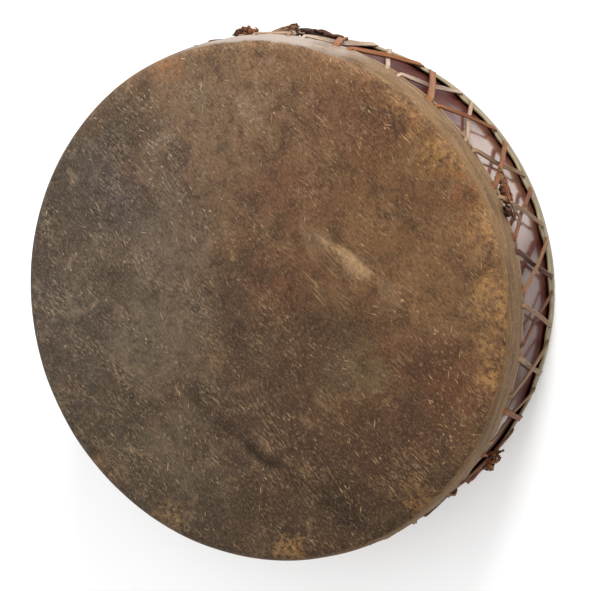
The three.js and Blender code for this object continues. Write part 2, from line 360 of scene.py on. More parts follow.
GOLD = shade(146, 112, 70)
OLIVE = shade(58, 52, 42)
SMOKE_AND_SHADE = shade(42, 33, 25)
UMBER = shade(62, 47, 36)
RUSSET = shade(84, 53, 38)
FAWN = shade(108, 84, 58)
DUST_AND_HIGHLIGHT = shade(118, 100, 78)
FACE_STAINS_AND_PAINTED_LIGHT = [
    ((0.25, 0.06), 0.06, SMOKE_AND_SHADE, 0.5, 14.0),
    ((0.21, 0.15), 0.08, SMOKE_AND_SHADE, 0.45, 12.0),
    ((-0.158, -0.012), 0.09, UMBER, 0.5, 14.0),
    ((-0.075, -0.048), 0.07, UMBER, 0.5, 14.0),
    ((0.10, 0.20), 0.22, OLIVE, 0.6, 9.0),
    ((-0.10, 0.20), 0.17, OLIVE, 0.5, 9.0),
    ((-0.24, 0.02), 0.13, SMOKE_AND_SHADE, 0.45, 12.0),
    ((-0.26, -0.07), 0.11, SMOKE_AND_SHADE, 0.45, 12.0),
    ((0.0, 0.12), 0.08, DUST_AND_HIGHLIGHT, 0.3, 14.0),
    ((-0.13, 0.14), 0.07, DUST_AND_HIGHLIGHT, 0.25, 14.0),
    ((0.1, 0.07), 0.06, DUST_AND_HIGHLIGHT, 0.25, 18.0),
    ((-0.13, 0.04), 0.12, UMBER, 0.5, 12.0),
    ((-0.15, -0.10), 0.10, shade(76, 52, 38), 0.5, 12.0),
    ((0.06, -0.15), 0.15, shade(100, 76, 52), 0.5, 9.0),
    ((0.02, -0.04), 0.06, RUSSET, 0.55, 26.0),
    ((0.11, -0.09), 0.06, RUSSET, 0.5, 16.0),
    ((-0.15, -0.2), 0.06, RUSSET, 0.6, 18.0),
    ((0.15, -0.2), 0.07, RUSSET, 0.5, 18.0),
    ((0.19, 0.11), 0.05, shade(70, 58, 50), 0.6, 18.0),
    ((0.22, -0.05), 0.09, FAWN, 0.35, 20.0),
    ((-0.06, -0.24), 0.09, FAWN, 0.5, 30.0),
    ((-0.11, -0.09), 0.05, shade(92, 84, 64), 0.45, 26.0),
    ((0.016, 0.022), 0.035, UMBER, 0.6, 35.0),
    # These three lighten the ridge: partly rubbed wear, partly a painted highlight on its lit side.
    ((0.038, -0.109), 0.022, DUST_AND_HIGHLIGHT, 0.5, 60.0),
    ((0.0, -0.138), 0.018, DUST_AND_HIGHLIGHT, 0.45, 60.0),
    ((-0.04, -0.163), 0.018, DUST_AND_HIGHLIGHT, 0.4, 60.0),
    # Painted shade: these three darken the crease, where shade falls in its hollow.
    ((-0.075, 0.103), 0.022, SMOKE_AND_SHADE, 0.6, 50.0),
    ((-0.115, 0.084), 0.016, SMOKE_AND_SHADE, 0.55, 60.0),
    ((-0.150, 0.062), 0.012, SMOKE_AND_SHADE, 0.7, 60.0),
    # Painted shade: these two darken the fold.
    ((-0.238, -0.003), 0.022, SMOKE_AND_SHADE, 0.8, 50.0),
    ((-0.262, -0.024), 0.026, SMOKE_AND_SHADE, 0.9, 50.0),
    ((0.192, 0.018), 0.022, SMOKE_AND_SHADE, 0.6, 50.0),
]
RIM_STAINS = [
    ((-0.09, -0.268), 0.05, GOLD, 0.9, 55.0),
    ((-0.15, -0.232), 0.04, GOLD, 0.9, 70.0),
    ((-0.01, -0.282), 0.045, GOLD, 0.8, 60.0),
    ((0.07, -0.272), 0.035, shade(150, 116, 68), 0.8, 80.0),
    ((0.13, -0.25), 0.03, GOLD, 0.7, 80.0),
    ((0.262, -0.085), 0.04, GOLD, 0.6, 60.0),
    ((0.284, -0.01), 0.03, shade(130, 82, 44), 0.7, 50.0),
    ((0.03, -0.285), 0.035, shade(118, 72, 42), 0.8, 50.0),
    ((0.2, -0.2), 0.04, shade(120, 80, 48), 0.5, 50.0),
    ((-0.28, 0.065), 0.03, GOLD, 0.8, 80.0),
    ((-0.2, 0.2), 0.03, GOLD, 0.5, 80.0),
    ((-0.12, 0.262), 0.025, shade(120, 84, 50), 0.7, 80.0),
    ((-0.27, -0.11), 0.03, GOLD, 0.5, 80.0),
]


def across_head(tree, where, direction):
    """How far a point lies along a direction of the head, in metres."""
    product = node(tree, "ShaderNodeVectorMath", {0: where, 1: direction}, operation="DOT_PRODUCT")
    return product.outputs["Value"]


def fibrous(tree, where, turn, stretch, detail=4.0):
    """Noise drawn out along one direction, like the fibres of a hide."""
    turned = placed(tree, where, turn=(0, 0, turn))
    return cloud(tree, placed(tree, turned, scale=stretch), 1.0, detail, 0.7, 0.5)


def rawhide_face(tree, where):
    """The brown of the face: painted shade away from the main light, stains with painted shade and highlight
    among them, and fibres, then scratches and pale flecks.
    """
    # Painted shade: the face is lighter towards the main light and darker away from it; the broad cloud adds
    # tone of its own.
    painted_light_falloff = across_head(tree, where, (0.85, -0.52, 0))
    broad = times(tree, maths(tree, "SUBTRACT", cloud(tree, where, 7.0, 4.0, 0.6, 0.3), 0.5), 0.6)
    lightness = spread(tree, maths(tree, "ADD", painted_light_falloff, broad), -0.32, 0.3)
    colour = blend(tree, lightness, shade(64, 51, 39), shade(100, 73, 48))
    warmth = cloud(tree, placed(tree, where, offset=(3, 1, 0)), 13.0, 4.0, 0.6)
    colour = blend(tree, spread(tree, warmth, 0.5, 0.68, 0, 0.45), colour, RUSSET)
    coolness = cloud(tree, placed(tree, where, offset=(7, 5, 0)), 15.0, 4.0, 0.6)
    colour = blend(tree, spread(tree, coolness, 0.52, 0.7, 0, 0.45), colour, shade(76, 70, 54))
    colour = with_patches(tree, where, colour, FACE_STAINS_AND_PAINTED_LIGHT)
    grit = cloud(tree, where, 430.0, 4.0, 0.75)
    rubbed = spread(tree, cloud(tree, where, 170.0, 5.0, 0.75), 0.43, 0.57)
    radius = node(tree, "ShaderNodeVectorMath", {0: placed(tree, where, scale=(1, 1, 0))}, operation="LENGTH")
    ragged = times(tree, maths(tree, "SUBTRACT", cloud(tree, where, 26.0, 4.0, 0.6), 0.5), 0.09)
    near_rim = spread(tree, maths(tree, "ADD", radius.outputs["Value"], ragged), 0.255, 0.285)
    gold = with_patches(tree, where, colour, RIM_STAINS)
    colour = blend(tree, times(tree, rubbed, near_rim), colour, gold)
    grime = cloud(tree, placed(tree, where, offset=(2, 9, 0)), 27.0, 6.0, 0.68, 0.8)
    colour = blend(tree, spread(tree, grime, 0.5, 0.36, 0, 0.5), colour, shade(46, 35, 26))
    colour = blend(tree, spread(tree, grime, 0.55, 0.7, 0, 0.4), colour, shade(128, 104, 78))
    mottle = cloud(tree, where, 60.0, 6.0, 0.75)
    colour = blend(tree, spread(tree, mottle, 0.52, 0.36, 0, 0.4), colour, shade(42, 32, 24))
    fibres = fibrous(tree, where, -0.35, (190, 640, 190))
    colour = blend(tree, spread(tree, fibres, 0.49, 0.36, 0, 0.5), colour, shade(38, 29, 21))
    colour = blend(tree, spread(tree, fibres, 0.53, 0.66, 0, 0.45), colour, shade(126, 101, 75))
    colour = blend(tree, spread(tree, grit, 0.54, 0.68, 0, 0.45), colour, shade(130, 104, 76))
    colour = blend(tree, spread(tree, grit, 0.46, 0.34, 0, 0.4), colour, shade(42, 32, 24))
    patches = spread(tree, cloud(tree, where, 22.0, 5.0, 0.7), 0.47, 0.62)
    hairs = spread(tree, fibrous(tree, where, -0.45, (130, 760, 130), 3.0), 0.52, 0.62)
    colour = blend(tree, times(tree, times(tree, hairs, patches), 0.5), colour, PALE_HIDE)
    for turn, stretch, share, patch, strength in FACE_SCRATCHES:
        chosen = {"turn": (0, 0, turn), "stretch": stretch, "share": share, "patchiness": patch}
        mask = use(tree, SCRATCHES, vector=where, **chosen)
        colour = blend(tree, times(tree, mask, strength), colour, PALE_HIDE)
    for turn, squeeze, scale, size, share, patch, shake in FACE_FLECKS:
        drawn = placed(tree, placed(tree, where, turn=(0, 0, turn)), scale=(squeeze, 1, 1))
        chosen = {"scale": scale, "size": size, "share": share, "patchiness": patch, "shake": shake}
        mask = use(tree, FLECKS, vector=drawn, **chosen)
        colour = blend(tree, times(tree, mask, 0.9), colour, shade(168, 142, 108))
    worn = use(tree, RAGGED_PATCH, vector=where, centre=(*WORN_PLACE, TOP), radius=0.075, ragged=0.3)
    drawn = placed(tree, placed(tree, where, turn=(0, 0, WORN_TURN)), scale=(0.06, 1, 1))
    streaks = use(tree, FLECKS, vector=drawn, scale=240.0, size=0.26, share=0.3, patchiness=20.0, shake=0.002)
    colour = blend(tree, times(tree, times(tree, streaks, worn), 0.7), colour, PALE_HIDE)
    here = use(tree, RAGGED_PATCH, vector=where, centre=(*DASHES_PLACE, TOP), radius=0.06, ragged=0.4)
    drawn = placed(tree, placed(tree, where, turn=(0, 0, DASHES_TURN)), scale=(0.35, 1, 1))
    dashes = use(tree, FLECKS, vector=drawn, scale=230.0, size=0.3, share=0.3, patchiness=30.0)
    colour = blend(tree, times(tree, dashes, here), colour, shade(164, 134, 92))
    # A pale streak along the crest of the ridge: partly rubbed wear, partly a painted highlight where the
    # ridge faces the main light.
    along = Vector((math.cos(CREST_TURN), math.sin(CREST_TURN)))
    across = Vector((-along.y, along.x))
    centre = (along.dot(CREST_PLACE) * CREST_SQUEEZE, across.dot(CREST_PLACE), TOP)
    drawn = placed(tree, placed(tree, where, turn=(0, 0, -CREST_TURN)), scale=(CREST_SQUEEZE, 1, 1))
    crest = use(tree, RAGGED_PATCH, vector=drawn, centre=centre, radius=0.0105, ragged=0.5, grain=95.0)
    rubbed_and_lit = spread(tree, fibres, 0.36, 0.62, 0.25, 0.75)
    colour = blend(tree, times(tree, crest, rubbed_and_lit), colour, shade(160, 134, 100))
    warm_side = spread(tree, across_head(tree, where, (-0.39, -0.92, 0)), -0.12, 0.14)
    cool_side = spread(tree, across_head(tree, where, (0.93, 0.41, 0)), -0.02, 0.2)
    colour = blend(tree, 1.0, colour, blend(tree, warm_side, LEFT_TINT, WARM_TINT), "MULTIPLY")
    return blend(tree, cool_side, colour, blend(tree, 1.0, colour, COOL_TINT, "MULTIPLY")), fibres


PALE_HIDE = shade(150, 125, 94)
WARM_TINT = (0.98, 0.9, 0.84, 1)
LEFT_TINT = (1.0, 1.02, 1.07, 1)
COOL_TINT = (1.1, 1.19, 1.38, 1)
WORN_PLACE = (0.006, -0.108)
WORN_TURN = -0.4
DASHES_PLACE = (-0.215, -0.15)
DASHES_TURN = -1.24
CREST_PLACE = Vector((0.006, -0.135))
CREST_TURN = 0.55
CREST_SQUEEZE = 0.25
FACE_SCRATCHES = [
    (-0.45, (45, 700, 45), 0.17, 7.0, 0.85),
    (-0.25, (80, 900, 80), 0.2, 9.0, 0.75),
    (-0.62, (24, 560, 24), 0.09, 5.0, 0.65),
    (-1.2, (120, 800, 120), 0.1, 9.0, 0.5),
    (0.7, (110, 850, 110), 0.08, 8.0, 0.45),
]
FACE_FLECKS = [
    (-0.45, 0.08, 330.0, 0.2, -0.02, 12.0, 0.0015),
    (-0.30, 0.12, 420.0, 0.2, 0.02, 18.0, 0.0015),
    (-0.60, 0.06, 260.0, 0.14, -0.05, 9.0, 0.002),
    (-0.40, 0.20, 700.0, 0.3, 0.05, 24.0, 0.001),
    (0.50, 0.10, 400.0, 0.2, -0.1, 16.0, 0.0015),
    (0.10, 0.09, 360.0, 0.18, -0.1, 14.0, 0.0015),
    (-1.00, 0.12, 420.0, 0.2, -0.2, 16.0, 0.0015),
    (-0.40, 0.35, 260.0, 0.2, -0.2, 9.0, 0.006),
    (-0.20, 0.45, 400.0, 0.26, -0.12, 13.0, 0.006),
]


# Where the skirt faces the main light; its colour is painted paler there.
SKIRT_HIGHLIGHT_PLACE = (0.27, -0.12, TOP - 20 * MM)


def rawhide_skirt(tree, where):
    """The paler skirt, with creases that run round the drum, and a painted highlight where it faces the main
    light.
    """
    creases = cloud(tree, placed(tree, where, scale=(16, 16, 130)), 1.0, 5.0, 0.65, 1.2)
    colour = blend(tree, spread(tree, creases, 0.3, 0.72), shade(80, 59, 38), shade(117, 91, 62))
    blotch = cloud(tree, where, 30.0, 5.0, 0.65)
    colour = blend(tree, spread(tree, blotch, 0.5, 0.72, 0, 0.6), colour, shade(74, 56, 38))
    fine = cloud(tree, where, 260.0, 4.0, 0.7)
    colour = blend(tree, spread(tree, fine, 0.53, 0.7, 0, 0.4), colour, shade(148, 126, 96))
    # Painted highlight: the skirt's colour is made paler where it faces the main light.
    skirt_highlight = use(tree, RAGGED_PATCH, vector=where, centre=SKIRT_HIGHLIGHT_PLACE, radius=0.13, ragged=0.25)
    colour = blend(tree, times(tree, skirt_highlight, 0.85), colour, shade(140, 129, 121))
    edge = node(tree, "ShaderNodeAttribute", attribute_name="edge").outputs["Fac"]
    return blend(tree, spread(tree, edge, 0.5, 1.0, 0, 0.6), colour, shade(146, 128, 100)), creases


def upper_rawhide():
    finish, tree, where, shader = empty_finish("upper_rawhide")
    face, fibres = rawhide_face(tree, where)
    skirt, creases = rawhide_skirt(tree, where)
    flat = placed(tree, where, scale=(1, 1, 0))
    radius = node(tree, "ShaderNodeVectorMath", {0: flat}, operation="LENGTH").outputs["Value"]
    wavy = maths(tree, "ADD", radius, times(tree, cloud(tree, where, 60.0, 4.0), 0.006))
    is_skirt = spread(tree, wavy, SHELL_RADIUS + 0.5 * MM, SHELL_RADIUS + 3.5 * MM)
    tree.links.new(blend(tree, is_skirt, face, skirt), shader.inputs["Base Color"])
    tree.links.new(spread(tree, fibres, 0.3, 0.7, 0.72, 0.58), shader.inputs["Roughness"])
    fine = maths(tree, "ADD", times(tree, fibres, 0.6), times(tree, creases, 0.4))
    bump = node(tree, "ShaderNodeBump", {"Strength": 0.4, "Distance": 0.0012, "Height": fine})
    tree.links.new(bump.outputs[0], shader.inputs["Normal"])
    shader.inputs["Specular IOR Level"].default_value = 0.1
    return finish


UPPER_RAWHIDE = upper_rawhide()
print("finish:", UPPER_RAWHIDE.name, len(UPPER_RAWHIDE.node_tree.nodes), "nodes")


# %% [markdown]
# ## The lower head
# The far skin was never played on as much. It is paler, cream to greenish tan, with the same creases round
# its skirt, and the same groups make it with other values.

# %% Material: lower rawhide
def lower_rawhide():
    finish, tree, where, shader = empty_finish("lower_rawhide")
    flat = placed(tree, where, scale=(16, 16, 240))
    creases = cloud(tree, flat, 1.0, 4.0, 0.6, 0.6)
    colour = blend(tree, spread(tree, creases, 0.35, 0.7), shade(94, 81, 57), shade(134, 119, 88))
    blotch = cloud(tree, where, 22.0, 5.0, 0.65)
    colour = blend(tree, spread(tree, blotch, 0.5, 0.72, 0, 0.7), colour, shade(112, 96, 66))
    mottle = cloud(tree, where, 110.0, 5.0, 0.7)
    colour = blend(tree, spread(tree, mottle, 0.55, 0.35, 0, 0.4), colour, shade(80, 66, 48))
    mask = use(tree, SCRATCHES, vector=where, turn=(0, 0, 0.9), share=0.14)
    colour = blend(tree, times(tree, mask, 0.5), colour, shade(205, 190, 155))
    edge = node(tree, "ShaderNodeAttribute", attribute_name="edge").outputs["Fac"]
    colour = blend(tree, spread(tree, edge, 0.4, 1.0, 0, 0.8), colour, shade(142, 127, 96))
    tree.links.new(colour, shader.inputs["Base Color"])
    tree.links.new(spread(tree, mottle, 0.3, 0.7, 0.65, 0.5), shader.inputs["Roughness"])
    fine = maths(tree, "ADD", times(tree, mottle, 0.6), times(tree, creases, 0.4))
    bump = node(tree, "ShaderNodeBump", {"Strength": 0.4, "Distance": 0.0012, "Height": fine})
    tree.links.new(bump.outputs[0], shader.inputs["Normal"])
    shader.inputs["Specular IOR Level"].default_value = 0.4
    return finish


LOWER_RAWHIDE = lower_rawhide()
print("finish:", LOWER_RAWHIDE.name)


# %% [markdown]
# ## Varnished wood
# The shell is a board bent into a ring, so its grain runs round the drum. Noise that is squeezed along the
# drum's axis draws that grain without a seam. A red-brown varnish lies over it as the shader's coat, worn
# dull in places; where the varnish keeps its gloss, the wood's colour is also lightened as a painted sheen.
# Real varnish has an IOR of about 1.5. The coat's is 2.6, because only then do the laces and
# the pale floor mirror in it as strongly as they should.

# %% Material: shell
GLOSS_AND_SHEEN_ZONES = [(-1.46, 0.115, 0.85), (-1.84, 0.07, 0.32), (-2.12, 0.05, 0.2), (-2.5, 0.06, 0.85)]


def varnished_wood():
    finish, tree, where, shader = empty_finish("varnished_wood")
    long_grain = cloud(tree, placed(tree, where, scale=(5, 5, 190)), 1.0, 5.0, 0.65, 0.8)
    fine_grain = cloud(tree, placed(tree, where, scale=(30, 30, 1500)), 1.0, 3.0, 0.6)
    colour = blend(tree, spread(tree, long_grain, 0.3, 0.7), shade(54, 22, 19), shade(80, 37, 31))
    colour = blend(tree, spread(tree, fine_grain, 0.45, 0.7, 0, 0.45), colour, shade(54, 26, 24))
    worn = cloud(tree, where, 12.0, 4.0, 0.6)
    gloss_and_sheen = 0.0
    for angle, radius, strength in GLOSS_AND_SHEEN_ZONES:
        centre = polar(angle, SHELL_RADIUS, TOP / 2)
        zone = use(tree, RAGGED_PATCH, vector=where, centre=centre, radius=radius, ragged=0.2, grain=14.0)
        gloss_and_sheen = maths(tree, "MAXIMUM", times(tree, zone, strength), gloss_and_sheen)
    # Inside the gloss zones the base colour is lightened too: painted sheen, standing in for the bright
    # reflection there.
    colour = blend(tree, times(tree, gloss_and_sheen, 0.3), colour, shade(166, 118, 92))
    mask = use(tree, SCRATCHES, vector=placed(tree, where, turn=(1.57, 0, 0)), turn=(0, 0, 0.3), share=0.12)
    colour = blend(tree, times(tree, mask, 0.35), colour, shade(160, 130, 118))
    tree.links.new(colour, shader.inputs["Base Color"])
    tree.links.new(spread(tree, worn, 0.4, 0.75, 0.45, 0.65), shader.inputs["Roughness"])
    tree.links.new(gloss_and_sheen, shader.inputs["Coat Weight"])
    shader.inputs["Coat IOR"].default_value = 2.6
    shader.inputs["Coat Roughness"].default_value = 0.13
    shader.inputs["Specular IOR Level"].default_value = 0.03
    bump = node(tree, "ShaderNodeBump", {"Strength": 0.25, "Distance": 0.0006, "Height": long_grain})
    tree.links.new(bump.outputs[0], shader.inputs["Normal"])
    return finish


VARNISHED_WOOD = varnished_wood()
print("finish:", VARNISHED_WOOD.name)


# %% [markdown]
# ## Thong leather
# No two legs of the lacing have the same colour: some are pale and dry, some orange-brown, some nearly black
# with grease. Each strip carries its own tone, its distance along and its place across as attributes, so one
# material serves all of them and its fibres follow every turn.

# %% Material: thongs
LEATHER_TONES = [(0.0, shade(30, 20, 14)), (0.22, shade(70, 38, 24)), (0.42, shade(120, 68, 30))]
LEATHER_TONES += [(0.6, shade(116, 89, 58)), (0.8, shade(138, 112, 90)), (1.0, shade(160, 140, 122))]


def thong_leather():
    finish, tree, _, shader = empty_finish("thong_leather")
    keys = ("tone", "along", "across")
    attributes = [node(tree, "ShaderNodeAttribute", attribute_name=key) for key in keys]
    tone, along, across = (attribute.outputs["Fac"] for attribute in attributes)
    inputs = {0: times(tree, across, 2.4), 1: times(tree, along, 45.0)}
    strand = node(tree, "ShaderNodeCombineXYZ", inputs).outputs[0]
    fibres = cloud(tree, strand, 1.0, 5.0, 0.7, 0.4)
    streaky = maths(tree, "ADD", tone, times(tree, maths(tree, "SUBTRACT", fibres, 0.5), 0.75))
    ramp = node(tree, "ShaderNodeValToRGB", {0: streaky})
    while len(ramp.color_ramp.elements) < len(LEATHER_TONES):
        ramp.color_ramp.elements.new(0.5)
    for element, (position, colour) in zip(ramp.color_ramp.elements, LEATHER_TONES):
        element.position, element.color = position, colour
    # Painted shade: each strip is darkened towards its edges.
    edge = spread(tree, maths(tree, "ABSOLUTE", across), 0.6, 1.0, 0, 0.45)
    colour = blend(tree, edge, ramp.outputs[0], shade(80, 54, 34))
    tree.links.new(colour, shader.inputs["Base Color"])
    tree.links.new(spread(tree, fibres, 0.3, 0.7, 0.8, 0.6), shader.inputs["Roughness"])
    bump = node(tree, "ShaderNodeBump", {"Strength": 0.6, "Distance": 0.0008, "Height": fibres})
    tree.links.new(bump.outputs[0], shader.inputs["Normal"])
    shader.inputs["Specular IOR Level"].default_value = 0.25
    return finish


THONG_LEATHER = thong_leather()
print("finish:", THONG_LEATHER.name)


# %% [markdown]
# ## Pieces
# Each finished mesh becomes an object at the origin, rides on the drum's one body and stands for its plain
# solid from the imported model.

# %% Helper: from bmesh to a piece of the drum
def finish_piece(bm, name, material, nodes):
    mesh = bpy.data.meshes.new(name)
    for face in bm.faces:
        face.smooth = True
    bm.to_mesh(mesh)
    bm.free()
    mesh.materials.append(material)
    piece = bpy.data.objects.new(name, mesh)
    bpy.context.scene.collection.objects.link(piece)
    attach(piece, "root")
    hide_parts(*nodes)
    print(f"{name}: {len(mesh.polygons)} faces")
    return piece


def spun(profile, steps):
    """A profile of (radius, height) points turned round the drum's axis."""
    bm = bmesh.new()
    rim = [bm.verts.new((radius, 0, height)) for radius, height in profile]
    edges = [bm.edges.new(pair) for pair in zip(rim, rim[1:])]
    full_turn = {"cent": (0, 0, 0), "axis": (0, 0, 1), "angle": 2 * math.pi, "use_merge": True}
    bmesh.ops.spin(bm, geom=rim + edges, steps=steps, **full_turn)
    bmesh.ops.remove_doubles(bm, verts=bm.verts, dist=0.05 * MM)
    bmesh.ops.recalc_face_normals(bm, faces=bm.faces)
    return bm


# %% [markdown]
# ## The shell
# Its section is a board with rounded outer edges. The profile is spun round the axis in steps fine enough
# that the varnish shows no facets.

# %% Shell
SHELL_WALL = 8 * MM
RIM_ROUND = 12 * MM
GAP = 0.3 * MM


def shell_piece():
    inside = SHELL_RADIUS - SHELL_WALL
    top = TOP - SKIN - GAP
    arc = []
    for step in range(9):
        turn = math.acos(1 - SHELL_WALL / RIM_ROUND) * (1 - step / 8)
        arc.append((RIM_ROUND * math.cos(turn), RIM_ROUND * math.sin(turn)))
    centre = SHELL_RADIUS - RIM_ROUND
    upper = [(centre + x, top - RIM_ROUND + z) for x, z in arc]
    profile = upper + [(r, TOP - z) for r, z in reversed(upper)]
    waist = [(inside, TOP - upper[0][1]), upper[0]]
    bm = spun(profile + waist, 288)
    return finish_piece(bm, "bent_shell", VARNISHED_WOOD, ["shell"])


shell_piece()


# %% [markdown]
# ## The skins
# A skin starts as one profile, from the middle of the face, over the rim and down the skirt. Spun into a fine
# grid, it can take everything that the hide does: the face is pressed into a ridge and creases, the skirt is
# cut in scallops between the lace holes and stands a little off the shell, and its free edge curls. Solidify
# then gives the hide its real thickness, which shows at the free edge and in the slits.

# %% The hide's own form
RIDGE = [(0.075, -0.078), (0.045, -0.104), (0.013, -0.130), (-0.021, -0.151), (-0.060, -0.176)]
CREASE = [(-0.061, 0.119), (-0.106, 0.095), (-0.14, 0.072), (-0.165, 0.056)]
FOLD = [(-0.165, 0.056), (-0.198, 0.030), (-0.232, 0.004), (-0.268, -0.028)]
DIMPLE = (-0.181, 0.042)
BUMP = (-0.166, 0.042)
DENT_SIZE = 0.012
BUMP_HEIGHT = 2.4 * MM
DIMPLE_DEPTH = 2.2 * MM
RIDGE_HEIGHT = 2.2 * MM
RIDGE_WIDTH = 0.009


def distance_to_line(point, line):
    """The nearest distance from a point of the face to a line of points, and the share of the line there."""
    best = (1.0, 0.0)
    for index, (start, end) in enumerate(zip(line, line[1:])):
        start, end = Vector(start), Vector(end)
        run = end - start
        share = min(max((point - start).dot(run) / run.length_squared, 0), 1)
        gap = (point - start - run * share)
        side = math.copysign(1, run.x * gap.y - run.y * gap.x)
        if gap.length < abs(best[0]):
            best = (gap.length * side, (index + share) / (len(line) - 1))
    return best


def bell(distance, width):
    return math.exp(-((distance / width) ** 2))


def face_relief(x, y):
    """How far the played face stands above flat, in metres."""
    point = Vector((x, y))
    rise = 0.9 * MM * noise.noise(Vector((x, y, 0)) * 9) + 0.35 * MM * noise.noise(Vector((x, y, 3)) * 34)
    ridge, share = distance_to_line(point, RIDGE)
    rise += RIDGE_HEIGHT * bell(ridge, RIDGE_WIDTH) * math.sin(math.pi * min(max(share, 0.06), 0.94))
    crease, share = distance_to_line(point, CREASE)
    pressed = 1.6 * MM * bell(crease - 0.006, 0.008) - 2.2 * MM * bell(crease + 0.005, 0.007)
    rise += pressed * (0.4 + 0.6 * share)
    fold, share = distance_to_line(point, FOLD)
    pressed = 2.0 * MM * bell(fold - 0.010, 0.012) - 2.8 * MM * bell(fold + 0.007, 0.011)
    rise += pressed * (1 - 0.3 * share)
    rise += BUMP_HEIGHT * bell((point - Vector(BUMP)).length, DENT_SIZE)
    rise -= DIMPLE_DEPTH * bell((point - Vector(DIMPLE)).length, DENT_SIZE * 0.8)
    return rise


# %% Skirts, holes and free edges
def edge_depth(angle, is_upper):
    """How far below the playing face the free edge lies."""
    hole_depth = TOP - HOLE_HEIGHTS[True] if is_upper else HOLE_HEIGHTS[False]
    between = (1 + math.cos(CROSSES * (angle - FIRST_CROSS))) / 2
    ragged = 1.6 * MM * noise.noise(Vector((math.cos(angle), math.sin(angle), 5 + is_upper)) * 14)
    return hole_depth + EDGE_MARGIN - 1.0 * MM - SCALLOP * between + ragged


def stand_off(depth, edge, angle, is_upper):
    """How far the skirt's outside stands out from the shell at a depth below the face."""
    let_go = min(max((depth - 14 * MM) / (17 * MM), 0), 1)
    stand = SKIRT_STAND * let_go * let_go * (3 - 2 * let_go)
    near_edge = min(max(1 - (edge - depth) / (9 * MM), 0), 1)
    place = Vector((math.cos(angle), math.sin(angle), 0)) * 11 + Vector((0, 0, 20 * is_upper + 9 * depth))
    pleat = noise.noise(place) * 1.1 * MM + noise.noise(place * 2.7) * 0.5 * MM
    looseness = 1.0 if is_upper else 0.6
    return GAP + SKIN + stand + looseness * (1.2 * MM * near_edge**2 + pleat * let_go)


def skin_profile(depth_to_edge, rings):
    """(radius, depth) from the middle of the face to the free edge."""
    outer_round = RIM_ROUND + GAP + SKIN
    crown = SHELL_RADIUS + GAP + SKIN - outer_round
    points = [(crown * step / rings, 0.0) for step in range(rings)]
    for step in range(11):
        turn = math.pi / 2 * (1 - step / 10)
        points.append((crown + outer_round * math.cos(turn), outer_round * (1 - math.sin(turn))))
    rows = 16
    below = depth_to_edge - outer_round
    points += [(SHELL_RADIUS + GAP + SKIN, outer_round + below * (row + 1) / rows) for row in range(rows)]
    return points


# %% A skin from its profile
def shape_skin(bm, is_upper, nominal_edge):
    """Presses the face, hangs the skirt and turns the lower skin over."""
    outer_round = RIM_ROUND + GAP + SKIN
    near_edge = bm.verts.layers.float.new("edge")
    for vert in bm.verts:
        radius, depth = vert.co.xy.length, -vert.co.z
        vert[near_edge] = max(0.0, 1 - (nominal_edge - depth) / (6 * MM))
        angle = math.atan2(vert.co.y, vert.co.x)
        lump = 0.7 * MM * noise.noise(Vector((math.cos(angle), math.sin(angle), 2.5 * is_upper)) * 5)
        if depth > outer_round:
            share = (depth - outer_round) / (nominal_edge - outer_round)
            edge = edge_depth(angle, is_upper)
            depth = outer_round + share * (edge - outer_round)
            radius = SHELL_RADIUS + stand_off(depth, edge, angle, is_upper) + lump
        elif radius > 0.2:
            radius += lump * (radius - 0.2) / (SHELL_RADIUS - 0.2)
        if depth < outer_round and is_upper:
            depth -= face_relief(vert.co.x, vert.co.y) * min(1, 1.4 * (1 - depth / outer_round))
        vert.co = polar(angle, radius, TOP - depth if is_upper else depth)


def cut_slits(bm, is_upper):
    """Takes out the grid point nearest to each hole and draws the faces' rim into an oval slit."""
    skirt = [v for v in bm.verts if abs(v.co.z - HOLE_HEIGHTS[is_upper]) < 12 * MM and v.co.xy.length > 0.25]
    tree = KDTree(len(skirt))
    for index, vert in enumerate(skirt):
        tree.insert(vert.co, index)
    tree.balance()
    removed = []
    for cross in range(CROSSES):
        for side in (1, -1):
            angle = hole_angle(cross, side, is_upper)
            centre = polar(angle, SHELL_RADIUS + SKIRT_STAND + SKIN, HOLE_HEIGHTS[is_upper])
            vert = skirt[tree.find(centre)[1]]
            tangent = Vector((-math.sin(angle), math.cos(angle), 0))
            ring = {v for face in vert.link_faces for v in face.verts} - {vert}
            for near in ring:
                offset = near.co - centre
                around, along = offset.dot(tangent), offset.z
                length = math.hypot(around / (3.4 * MM), along / (2.6 * MM))
                near.co += (tangent * around + UP * along) * (1 / length - 1)
            removed.append(vert)
    bmesh.ops.delete(bm, geom=removed, context="VERTS")
    print("slits cut:", len(removed))


def skin_piece(name, material, node_name, is_upper, rings, steps):
    nominal_edge = TOP - UPPER_EDGE if is_upper else LOWER_EDGE
    bm = spun([(r, -depth) for r, depth in skin_profile(nominal_edge, rings)], steps)
    shape_skin(bm, is_upper, nominal_edge)
    cut_slits(bm, is_upper)
    bmesh.ops.recalc_face_normals(bm, faces=bm.faces)
    piece = finish_piece(bm, name, material, [node_name])
    wall = piece.modifiers.new("hide_thickness", "SOLIDIFY")
    wall.thickness = SKIN
    wall.offset = -1
    return piece


upper_skin = skin_piece("upper_skin", UPPER_RAWHIDE, "upper_head", True, 64, 480)
lower_skin = skin_piece("lower_skin", LOWER_RAWHIDE, "lower_head", False, 30, 320)


# %% [markdown]
# ## Strips of leather
# A thong is a flat strip, so it starts as a flat grid with one row for every step of its route, and each row
# is moved to its place. A route is smoothed from a few knots that say where the strip is, which way its face
# looks, how wide it is and what tone it has. Solidify gives it thickness.

# %% Routes and strips
def between(t, p, q, r, s):
    """The smooth curve from q to r, which p and s lead into and out of, at the share t."""
    return 0.5 * (2 * q + (r - p) * t + (2 * p - 5 * q + 4 * r - s) * t * t + (3 * q - p - 3 * r + s) * t**3)


